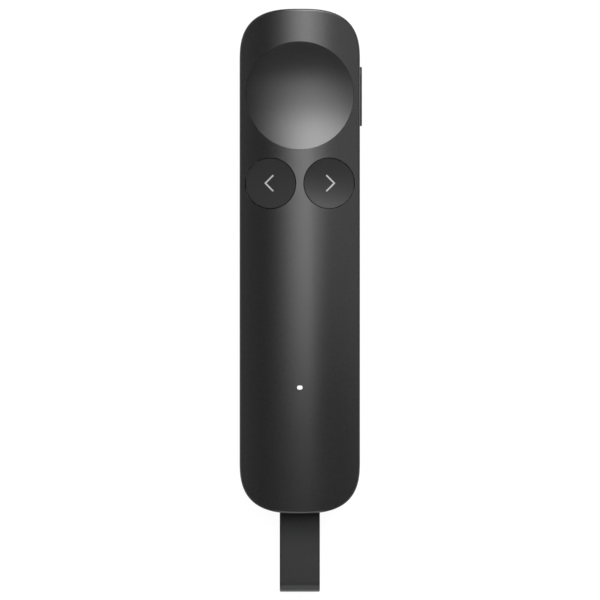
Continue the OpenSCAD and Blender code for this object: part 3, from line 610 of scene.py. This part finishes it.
def wing(side):
    """A lug with a round outer face that reaches under the edge of the opening and slopes
    down outwards."""
    x = np.linspace(-wing_half, wing_half, 13)
    near = dish_at[1] + side * (np.sqrt(dish_r**2 - x**2) - wing_root)
    far = dish_at[1] + side * np.sqrt(wing_r**2 - x**2)
    z0, z1 = 0 * x + skirt_under, 0 * x + wing_top
    return bar(np.stack([np.stack([x, y, z], -1) for y, z in
                         ((near, z0), (far, z0), (far, z1 - wing_slope), (near, z1))], 1))


dish = solid("thumb_dish", [
    hollow_cap(dish_at, dish_open - dish_gap, dish_open, dish_depth, dish_rim, rows=40),
    guide_post(dish_at, nub_r, nub_low), wing(-1), wing(1)]
    + [guide_post(dish_at + post_ring * np.array([math.cos(a), math.sin(a)]), post_r, post_low)
       for a in np.radians([45, 135, 225, 315])])
dish.data.materials.append(finish_of(
    "dish_satin", (0.0098, 0.0098, 0.0100), (0.0122, 0.0122, 0.0124), (0.18, 0.19),
    fineness=7000.0, depth=6e-7, specular_ior_level=0.43))
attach(dish, "dish")
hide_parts("dish_button")


# ---------------------------------------------------------------- round keys
# Two round keys page back and forward: darker, softer-looking plastic with a shallow hollow,
# a skirt, a retaining flange and two guide posts each. Their arrows are moulded in a second,
# pale plastic and stand a hair above the surface.

key_r, cap_r, key_open, key_depth, key_rim = 6.24, 6.21, 6.4, 0.4, 0.015
key_low, key_high = box_mm("next_button")
key_x = key_high[0] - key_r
key_y = (key_low + key_high)[1] / 2
flange_r, flange_t, flange_reach, flange_root, flange_flat = 6.95, 0.75, 10.7, 0.6, 0.05
key_post_reach, key_post_r = 3.69, 0.65
key_finish = finish_of("key_plastic", (0.0180, 0.0180, 0.0181), (0.0211, 0.0211, 0.0213),
                       (0.20, 0.21), fineness=6500.0, depth=8e-7, specular_ior_level=0.17)
sign_finish = finish_of("sign_plastic", (0.27, 0.27, 0.27), (0.31, 0.31, 0.31), (0.5, 0.6),
                        fineness=9000.0, depth=5e-7)


def key_flange(side):
    """A C-shaped ring under the key, open on the outer side so that it clears the wall. Its
    top slopes down outwards."""
    start = math.acos((flange_reach - key_x) / flange_r)
    a = np.linspace(start, 2 * np.pi - start, 64)
    root, slope_from = key_r - flange_root, key_r - flange_flat
    corners = ((root, skirt_under), (flange_r, skirt_under),
               (flange_r, skirt_under + flange_t / 2), (slope_from, skirt_under + flange_t),
               (root, skirt_under + flange_t))
    return bar(np.stack([np.stack([side * (key_x + r * np.cos(a)), key_y + r * np.sin(a),
                                   z + 0 * a], -1) for r, z in corners], 1))


def key_surface(x, y, side):
    """Height of the key's hollowed top."""
    q2 = (x - side * key_x) ** 2 + (y - key_y) ** 2
    return crown(x) - key_depth * (1 - q2 / key_open**2)


def arrow(side, steps=14):
    """An angle of two arms, drawn as lines beside a centre line that meet in a mitre. A
    section across an arm is a low strip with eased edges, sunk into the key."""
    tip, mid_y, arm, reach, stroke = key_x + 1.29, key_y + 0.02, 1.97, 1.98, 0.38
    u = np.linspace(-1, 1, 2 * steps + 1)
    length = math.hypot(arm, reach)
    nx = reach / length
    across = np.array([-1, -0.86, -0.5, 0, 0.5, 0.86, 1, 1, 0, -1]) * stroke / 2
    proud = np.array([0.0, 0.022, 0.03, 0.03, 0.03, 0.022, 0.0, -0.12, -0.12, -0.12])
    off = across / nx
    x = side * (tip - arm * abs(u)[:, None] + off[None])
    y = mid_y + reach * u[:, None] + 0 * off[None]
    end = np.sign(u[[0, -1]])[:, None] * across * (arm / length)
    x[[0, -1]] = side * (tip - arm + across * nx)
    y[[0, -1]] = mid_y + reach * u[[0, -1]][:, None] + end
    return bar(np.stack([x, y, key_surface(x, y, side) + proud], -1))


for side, name, body in ((-1, "back", "back_key"), (1, "next", "next_key")):
    at = np.array([side * key_x, key_y])
    key = solid(name + "_key_cap", [
        hollow_cap(at, cap_r, key_open, key_depth, key_rim, rows=18, sides=112),
        key_flange(side), guide_post(at, nub_r, nub_low)]
        + [guide_post(at + [0, y], key_post_r, post_low)
           for y in (-key_post_reach, key_post_reach)])
    key.data.materials.append(key_finish)
    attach(key, body)
    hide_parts(name + "_button")
    sign = solid(name + "_arrow", [arrow(side)])
    sign.data.materials.append(sign_finish)
    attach(sign, body)


# ---------------------------------------------------------------- side key
# A long key in the right-hand wall, beside the dish: dark plastic with round ends, a rounded
# front edge, a flange behind the wall and a tab that reaches its switch.

side_low, side_high = box_mm("side_button")
side_l, side_h, side_z = 14.8, 3.3, 6.6
side_y = (side_low + side_high)[1] / 2
flange_air, side_flange_t, side_flange_w = 0.2, 0.7, 0.45
flange_x = half_w - wall - flange_air   # the flange's face, just inside the wall
tab_root = flange_x - 0.5               # the tab is sunk into the flange
tab_half, tab_low, tab_high = 1.6, 5.2, 6.4


def pill_loop(mid, length, width, grow=0.0, straight=12, bend=13):
    """A slot shape with round ends, grown outwards; its points keep their order as it grows."""
    r, reach = width / 2 + grow, (length - width) / 2
    a = np.linspace(-np.pi / 2, np.pi / 2, bend)
    run = np.linspace(-reach, reach, straight)[1:-1]
    right = np.stack([reach + r * np.cos(a), r * np.sin(a)], 1)
    over = np.stack([run[::-1], r + 0 * run], 1)
    return np.vstack([right, over, -right, -over]) + mid


edge_r, face_bow, side_slope = 0.12, 0.02, 0.33
face_x, back_x = side_high[0], flange_x - side_flange_t
# A row is how far the outline is grown, where it lies, and up to where it has narrowed.
side_rows = [(g, face_x - face_bow * ((side_h / 2 + g) / (side_h / 2)) ** 2, face_x)
             for g in np.linspace(-side_h / 2, -edge_r, 6)[:-1]]
side_rows += [(-edge_r + edge_r * math.sin(a), face_x - face_bow - edge_r * (1 - math.cos(a)),
               face_x) for a in np.linspace(0, np.pi / 2, 7)]
side_rows += [(0, half_w, half_w), (0, flange_x, half_w), (side_flange_w, flange_x, half_w),
              (side_flange_w, back_x, half_w), (-side_h / 2, back_x, half_w)]


def side_outline(grow, x, narrowed_to):
    """The key's outline at x: it narrows outwards from the wall, but keeps its length."""
    pinch = side_slope * (narrowed_to - half_w)
    flat = pill_loop((side_y, side_z), side_l, side_h - 2 * pinch, max(grow, pinch - side_h / 2))
    return np.column_stack([np.full(len(flat), x), flat])


side_key = solid("side_key_cap", [
    grid_patch(np.array([side_outline(*row) for row in side_rows])),
    block(side_low[0], tab_root, side_y - tab_half, side_y + tab_half, tab_low, tab_high)])
side_key.data.materials.append(key_finish)
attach(side_key, "side_key")
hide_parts("side_button")


# ---------------------------------------------------------------- status light
# A clear rod carries the light of the lamp on the board up to a small window in the crown. It
# is lit white, and a flange under the roof keeps it in.

pipe_low, pipe_high = box_mm("light_pipe")
light_y = (pipe_low + pipe_high)[1] / 2
window_l, window_w, window_gap, window_bulge = 1.4, 1.05, 0.02, 0.03
collar_r, collar_low, collar_high = 1.5, 10.45, 11.45
rod_l, rod_w = window_l - 2 * window_gap, window_w - 2 * window_gap


def rod_outlines(rows):
    """The rod's outline, grown by the first number of a row, at the height of the second."""
    flat = [pill_loop((0, light_y), rod_l, rod_w, g) for g, _ in rows]
    return np.array([np.column_stack([f, np.full(len(f), h)]) for f, (_, h) in zip(flat, rows)])


window = rod_outlines([(g, window_bulge * (1 - ((rod_w / 2 + g) / (rod_w / 2)) ** 2))
                       for g in np.linspace(-rod_w / 2, 0, 5)])
window[:, :, 2] += crown(window[:, :, 0])
foot = rod_outlines([(0, pipe_low[2]), (-rod_w / 2, pipe_low[2])])
light_pipe = solid("light_window", [
    grid_patch(np.concatenate([window, foot])),
    turned((0, light_y), [0, collar_r, collar_r, 0],
           [collar_low, collar_low, collar_high, collar_high], sides=32)])
light_pipe.data.materials.append(finish_of(
    "lit_white", (0.57, 0.57, 0.575), (0.62, 0.62, 0.625), (0.25, 0.35), fineness=5000.0,
    depth=3e-7, emission_color=(1, 1, 1, 1), emission_strength=0.13))
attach(light_pipe, "housing")
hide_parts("light_pipe")


# ---------------------------------------------------------------- top shell
# The upper half of the casing, of the same graphite plastic: one crowned skin with openings
# for the dish, the two keys, the light and the side key, and the upper half of the mouth.
# Screw bosses and two ribs for the dock stand on its inside.

top_round = 0.45
hole_lip, light_lip, slot_lip = 0.01, 0.03, 0.06
top_line, top_way = rim_line(1)
top_strip, top_edge = rim_strip(top_line, top_way, lambda z: 0 * z, lambda z: wall + 0 * z)


def circle(at, r, count):
    """Points round a circle."""
    a = np.linspace(0, 2 * np.pi, count, endpoint=False)
    return np.stack([at[0] + r * np.cos(a), at[1] + r * np.sin(a)], 1)


openings = [(hole_lip, lambda g: circle(dish_at, dish_open + g, 180)),
            (hole_lip, lambda g: circle((-key_x, key_y), key_open + g, 120)),
            (hole_lip, lambda g: circle((key_x, key_y), key_open + g, 120)),
            (light_lip, lambda g: pill_loop((0, light_y), window_l, window_w, g))]


def opening_wall(lip, loop, steps=5):
    """The rounded edge of an opening in the crown and its straight wall down to the inside."""
    flat = loop(lip + brim)
    rows = [np.column_stack([flat, crown(flat[:, 0])])]
    for a in np.linspace(0, np.pi / 2, steps):
        flat = loop(lip * (1 - math.sin(a)))
        rows.append(np.column_stack([flat, crown(flat[:, 0]) - lip * (1 - math.cos(a))]))
    flat = loop(0.0)
    rows.append(np.column_stack([flat, crown(flat[:, 0]) - roof]))
    return grid_patch(np.array(rows))


def crown_sheet(drop):
    """The crown, lowered by drop."""
    return lambda flat: np.column_stack([flat, crown(flat[:, 0]) - drop])


def rounded_edge():
    """The edge between the crown and the sides: a quarter circle, set in and lowered."""
    flat = plan(ring_s, top_round + brim)
    rows = [np.column_stack([flat, crown(flat[:, 0])])]
    for a in np.linspace(np.pi / 2, 0, 9):
        flat = plan(ring_s, top_round * (1 - math.cos(a)))
        rows.append(np.column_stack([flat, crown(flat[:, 0]) - top_round * (1 - math.sin(a))]))
    return np.array(rows)


slot_air = 0.12
right_s = float(table_s[np.flatnonzero((table_x > half_w - 1e-9) & (table_y < 0))[-1]])
slot_shift = right_s + straight_y       # arc length on the right side, less its y


def slot_loop(grow):
    """The side key's opening in the unrolled wall."""
    flat = pill_loop((side_y, side_z), side_l + 2 * slot_air, side_h + 2 * slot_air, grow)
    return flat + [slot_shift, 0]


def slot_wall(steps=5):
    """The rounded edge of the side key's opening and its wall through to the inside."""
    rows = []
    for a in np.linspace(0, np.pi / 2, steps):
        flat = slot_loop(slot_lip * (1 - math.sin(a)))
        rows.append(np.column_stack([plan(flat[:, 0], slot_lip * (1 - math.cos(a))), flat[:, 1]]))
    flat = slot_loop(0.0)
    rows.append(np.column_stack([plan(flat[:, 0], wall), flat[:, 1]]))
    return grid_patch(np.array(rows))


def wall_sheet(inset):
    """The unrolled side wall, set in."""
    return lambda flat: np.column_stack([plan(flat[:, 0], inset), flat[:, 1]])


outer_top = crown(plan(ring_end, 0)[:, 0]) - top_round
inner_top = crown(plan(ring_end, wall)[:, 0]) - roof
screw_r, boss_r, boss_sunk = 0.75, 1.5, 0.3
boss_at = [(7.5, 57.3, 8.8), (12.0, 27.4, 8.8), (10.5, 9.474, 8.8), (10.5, -31.5, 7.6),
           (10.5, -42.0, 7.6)]          # x and y of a pair, and how far down it reaches


def boss(x, y, low):
    """A bored screw boss under the roof."""
    high = float(crown(abs(x) + boss_r)) - boss_sunk
    return turned((x, y), [screw_r, boss_r, boss_r, screw_r, screw_r],
                  [low, low, high, high, low], sides=32)


dock_rib_y, dock_rib_half, dock_rib_low, dock_rib_sunk = (-56.8, -49.9), 5.8, 8.52, 0.7
dock_rib_high = float(crown(dock_rib_half)) - dock_rib_sunk
dock_ribs = [block(-dock_rib_half, dock_rib_half, y, y + rib_t, dock_rib_low, dock_rib_high)
             for y in dock_rib_y]

top_shell = solid("top_shell_skin", [
    pierced_patch(plan(ring_s, top_round + brim), [loop(lip + brim) for lip, loop in openings],
                  step=(0.9, 1.5), place=crown_sheet(0.0)),
    grid_patch(rounded_edge()),
    pierced_patch(skin_rim(top_edge, outer_top, ring_end), [slot_loop(slot_lip)],
                  step=(1.6, 1.2), place=wall_sheet(0.0)),
    grid_patch(top_strip), slot_wall(),
    pierced_patch(skin_rim(top_line, inner_top, ring_end), [slot_loop(0.0)],
                  step=(2.0, 1.2), place=wall_sheet(wall)),
    pierced_patch(plan(ring_s, wall), [loop(0.0) for _, loop in openings],
                  step=(1.5, 2.0), place=crown_sheet(roof))]
    + [opening_wall(lip, loop) for lip, loop in openings]
    + [boss(side * x, y, low) for x, y, low in boss_at for side in (-1, 1)] + dock_ribs)
top_shell.data.materials.append(shell_finish)
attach(top_shell, "housing")
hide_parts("top_shell")


# ---------------------------------------------------------------- dongle and pull loop
# The dongle's two halves are of black plastic, with the plug at one end. A flat endless strap
# of soft rubber runs round a pin in it and stands out of the tail, folded at its free end. Its
# colour is painted paler round the fold as a painted highlight, and beside the body it has no
# coat, a painted shade where the body's shadow falls.

dress(finish_of("dongle_plastic", (0.014, 0.014, 0.0145), (0.019, 0.019, 0.0195), (0.42, 0.5)),
      "receiver_upper", "receiver_lower")

loop_low, loop_high = box_mm("pull_loop")
strap_w = (loop_high - loop_low)[0]
strap_r = (loop_high - loop_low)[2] / 2
strap_t, strap_edge = 1.2, 0.3
strap_z = (loop_high + loop_low)[2] / 2
pin_y, fold_y = loop_high[1] - strap_r, loop_low[1] + strap_r


def strap_grid(bend=24, run=40, corner=5):
    """A rectangle with rounded corners, carried along a stadium about the pin and the fold."""
    a = np.linspace(-np.pi / 2, np.pi / 2, bend)
    y = np.linspace(fold_y, pin_y, run)[1:-1]
    centre = np.concatenate([pin_y + 0 * a, y[::-1], fold_y + 0 * a, y])
    turn, up = np.stack([np.cos(a), np.sin(a)], 1), np.stack([0 * y, 1 + 0 * y], 1)
    way = np.vstack([turn, up, -turn, -up])
    path = np.column_stack([centre, 0 * centre]) + (strap_r - strap_t / 2) * way
    b = np.linspace(0, np.pi / 2, corner)
    cx, ct = strap_w / 2 - strap_edge, strap_t / 2 - strap_edge
    flat = np.linspace(-cx, cx, 9)[1:-1]
    quarter = [np.stack([sx * (cx + strap_edge * np.abs(np.cos(c))),
                         sz * (ct + strap_edge * np.abs(np.sin(c)))], 1)
               for sx, sz, c in ((1, 1, b), (-1, 1, b[::-1]), (-1, -1, b), (1, -1, b[::-1]))]
    section = np.vstack([quarter[0], np.stack([flat[::-1], strap_t / 2 + 0 * flat], 1),
                         quarter[1], quarter[2], np.stack([flat, -strap_t / 2 + 0 * flat], 1),
                         quarter[3]])
    x = np.broadcast_to(section[None, :, 0], (len(path), len(section)))
    out = path[:, None] + section[None, :, 1:] * way[:, None]
    return np.stack([x, out[..., 0], out[..., 1] + strap_z], -1)


strap = strap_grid()
pull_strap = solid("pull_strap", [grid_patch(np.concatenate([strap, strap[:1]]))], sharp=50)
strap_finish = finish_of("loop_rubber", (0.0038, 0.0040, 0.0040), (0.0062, 0.0064, 0.0064),
                         (0.34, 0.40), fineness=4500.0, depth=2.5e-6, specular_ior_level=0.17,
                         coat_roughness=0.37)
pull_strap.data.materials.append(strap_finish)

# Painted highlight: the paler colour round the fold stands in for the light that the fold catches.
painted_fold_highlight = (0.056, 0.057, 0.057, 1)
fold_highlight_from, fold_highlight_to = fold_y - 0.3, fold_y - strap_r
# Painted shade: the strap has no coat beside the body, which darkens it there in place of the
# body's shadow.
shade_full_to, shade_gone_from, coat_beyond_shade = -front_y - 1.6, -front_y - 8.6, 0.26


def axes_of(tree, space="Object"):
    """X, Y and Z of a point, as outputs by name."""
    where = add_node(tree, "TexCoord")
    axes = add_node(tree, "SeparateXYZ")
    tree.links.new(where.outputs[space], axes.inputs[0])
    return axes.outputs


def paint_light_on_strap(tree):
    """Along the strap, its colour goes paler round the fold, a painted highlight, and a coat
    sets in away from the body, so that the part beside the body is darker: painted shade."""
    shader = tree.nodes["Principled BSDF"]
    y = axes_of(tree)["Y"]
    tone = add_node(tree, "Mix", data_type="RGBA", b=painted_fold_highlight)
    link = tree.links.new
    # Painted highlight round the fold.
    link(smooth_rise(tree, y, fold_highlight_from * MM, fold_highlight_to * MM), tone.inputs["Factor"])
    link(shader.inputs["Base Color"].links[0].from_socket, tone.inputs["A"])
    link(tone.outputs["Result"], shader.inputs["Base Color"])
    # Painted shade beside the body: the coat is nought there and rises away from it.
    link(smooth_rise(tree, y, shade_full_to * MM, shade_gone_from * MM, coat_beyond_shade),
         shader.inputs["Coat Weight"])


paint_light_on_strap(strap_finish.node_tree)
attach(pull_strap, "receiver")
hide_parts("pull_loop")


# ---------------------------------------------------------------- table, light and camera
# The remote lies on a plain white table and is seen from straight above. A large soft panel hangs
# over it, bright towards the front and with a wash on its right. Of two soft lamps, one stands low
# in front and one beyond the tail. The room round them is pale, with a white backdrop.

def lamp(name, at, size, radiance, tilt):
    """A soft rectangular lamp that would face down, tilted about X to face along Y."""
    light = bpy.data.lights.new(name, "AREA")
    light.shape = "RECTANGLE"
    light.size, light.size_y = size
    light.energy = radiance * math.pi * size[0] * size[1]
    piece = bpy.data.objects.new(name, light)
    piece.location = at
    piece.rotation_euler = (math.radians(tilt), 0, 0)
    bpy.context.scene.collection.objects.link(piece)


lamp("low_front_lamp", at=(0.25, 0.60, 0.33), size=(0.75, 0.45), radiance=2.5, tilt=-90)
lamp("tail_lamp", at=(0.0, -0.49, 0.565), size=(0.50, 0.59), radiance=2.4, tilt=41)


def set_sheet(name, corners, at, finish):
    """A flat sheet with four corners, which belongs to the room and not to the remote."""
    mesh = bpy.data.meshes.new(name)
    mesh.from_pydata([(x, y, 0) for x, y in corners], [], [(0, 1, 2, 3)])
    mesh.materials.append(finish)
    sheet = bpy.data.objects.new(name, mesh)
    sheet.location = at
    bpy.context.scene.collection.objects.link(sheet)
    return sheet


def blank_material(name):
    """A new material, its emptied node tree, and the input that takes its surface."""
    material = bpy.data.materials.new(name)
    material.use_nodes = True
    tree = material.node_tree
    tree.nodes.clear()
    return material, tree, add_node(tree, "OutputMaterial").inputs["Surface"]


panel_at = (0.057, 0, 0.703)
panel_corners = [(-0.42, -0.08), (-0.42, 0.62), (0.79, 0.62), (0.79, -0.08)]
panel_radiance = 12.25
near_part, far_part = (-0.05, 0.01, 0.35), (0.06, 0.17, 0.65)    # from y, to y, and its share
left_spread, right_spread = (0.127, -0.115), (0.069, 0.363)     # at y = 0, and growth with y
spread_to = 0.3                         # beyond this y the spread stays
wash_radiance, wash_slant = 0.93, 0.045
wash_x, wash_y = (0.074, 0.114), (-0.016, 0.004)    # where the wash sets in and is full


def panel_finish():
    """Light of the panel: a bell across it, exp(-(x / spread)^2 / 2), with its own spread on
    either side of the middle, times two smooth rises towards the front, one for its dim near
    part and one for its bright far part; plus the even wash."""
    material, tree, surface = blank_material("panel_glow")
    link = tree.links.new
    axes = axes_of(tree)
    x, y = axes["X"], axes["Y"]
    near = maths(tree, "MINIMUM", y, spread_to)
    left = maths(tree, "MULTIPLY_ADD", near, left_spread[1], left_spread[0])
    right = maths(tree, "MULTIPLY_ADD", near, right_spread[1], right_spread[0])
    spread = maths(tree, "MULTIPLY_ADD", maths(tree, "SUBTRACT", right, left),
                   maths(tree, "GREATER_THAN", x, 0.0), left)
    ratio = maths(tree, "DIVIDE", x, spread)
    half_square = maths(tree, "MULTIPLY", maths(tree, "MULTIPLY", ratio, ratio), -0.5)
    bell = maths(tree, "EXPONENT", half_square)
    along = maths(tree, "ADD", smooth_rise(tree, y, *near_part),
                  smooth_rise(tree, y, *far_part))
    main = maths(tree, "MULTIPLY", maths(tree, "MULTIPLY", bell, along), panel_radiance)
    slanted = maths(tree, "MULTIPLY_ADD", x, wash_slant, y)
    wash = maths(tree, "MULTIPLY", smooth_rise(tree, x, *wash_x, wash_radiance),
                 smooth_rise(tree, slanted, *wash_y))
    shine = add_node(tree, "Emission", color=(1, 1, 1, 1))
    link(maths(tree, "ADD", main, wash), shine.inputs["Strength"])
    link(shine.outputs[0], surface)
    return material


front_panel = set_sheet("front_panel", panel_corners, panel_at, panel_finish())

table_corners = [(-1.5, -1.5), (1.5, -1.5), (1.5, 1.5), (-1.5, 1.5)]
table_tone, paper_white, white_part = (0.85, 0.85, 0.85, 1), 1.05, 0.9


def table_finish():
    """White paper that takes a soft shadow. To the eye and in reflections it is mostly plain
    white, and from below it is clear."""
    material, tree, surface = blank_material("table_white")
    ground = add_node(tree, "BsdfDiffuse", color=table_tone)
    white = add_node(tree, "Emission", color=(1, 1, 1, 1), strength=paper_white)
    ray = add_node(tree, "LightPath")
    seen = maths(tree, "MAXIMUM", ray.outputs["Is Camera Ray"], ray.outputs["Is Glossy Ray"])
    paper = add_node(tree, "MixShader")
    clear = add_node(tree, "BsdfTransparent")
    facing = add_node(tree, "NewGeometry")
    both = add_node(tree, "MixShader")
    link = tree.links.new
    link(maths(tree, "MULTIPLY", seen, white_part), paper.inputs["Fac"])
    link(ground.outputs[0], paper.inputs[1])
    link(white.outputs[0], paper.inputs[2])
    link(facing.outputs["Backfacing"], both.inputs["Fac"])
    link(paper.outputs[0], both.inputs[1])
    link(clear.outputs[0], both.inputs[2])
    link(both.outputs[0], surface)
    return material


floor = set_sheet("table", table_corners, (0, 0, 0), table_finish())

room_levels = [(0.0, 0.65), (0.3, 0.3), (0.74, 0.45), (0.86, 0.08)]     # at such a rise


def room():
    """The room's light by how steeply one looks up, behind a white backdrop."""
    world = bpy.data.worlds.new("room")
    world.use_nodes = True
    tree = world.node_tree
    fade = add_node(tree, "ValToRGB")
    elements = fade.color_ramp.elements
    for k, (place, level) in enumerate(room_levels):
        stop = elements[k] if k < 2 else elements.new(place)
        stop.position = place
        stop.color = (level, level, level, 1)
    backdrop = add_node(tree, "Background", color=(1, 1, 1, 1))
    ray = add_node(tree, "LightPath")
    either = add_node(tree, "MixShader")
    light = tree.nodes["Background"]
    link = tree.links.new
    link(axes_of(tree, "Generated")["Z"], fade.inputs["Fac"])
    link(fade.outputs["Color"], light.inputs["Color"])
    link(ray.outputs["Is Camera Ray"], either.inputs["Fac"])
    link(light.outputs[0], either.inputs[1])
    link(backdrop.outputs[0], either.inputs[2])
    link(either.outputs[0], tree.nodes["World Output"].inputs["Surface"])
    return world


bpy.context.scene.world = room()
bpy.context.scene.view_settings.view_transform = "Standard"

lens = bpy.data.cameras.new("camera")
lens.type = "ORTHO"
lens.ortho_scale = 0.1495
camera = bpy.data.objects.new("camera", lens)
camera.location = (0.00005, -0.00969, 0.25)
bpy.context.scene.collection.objects.link(camera)
bpy.context.scene.camera = camera
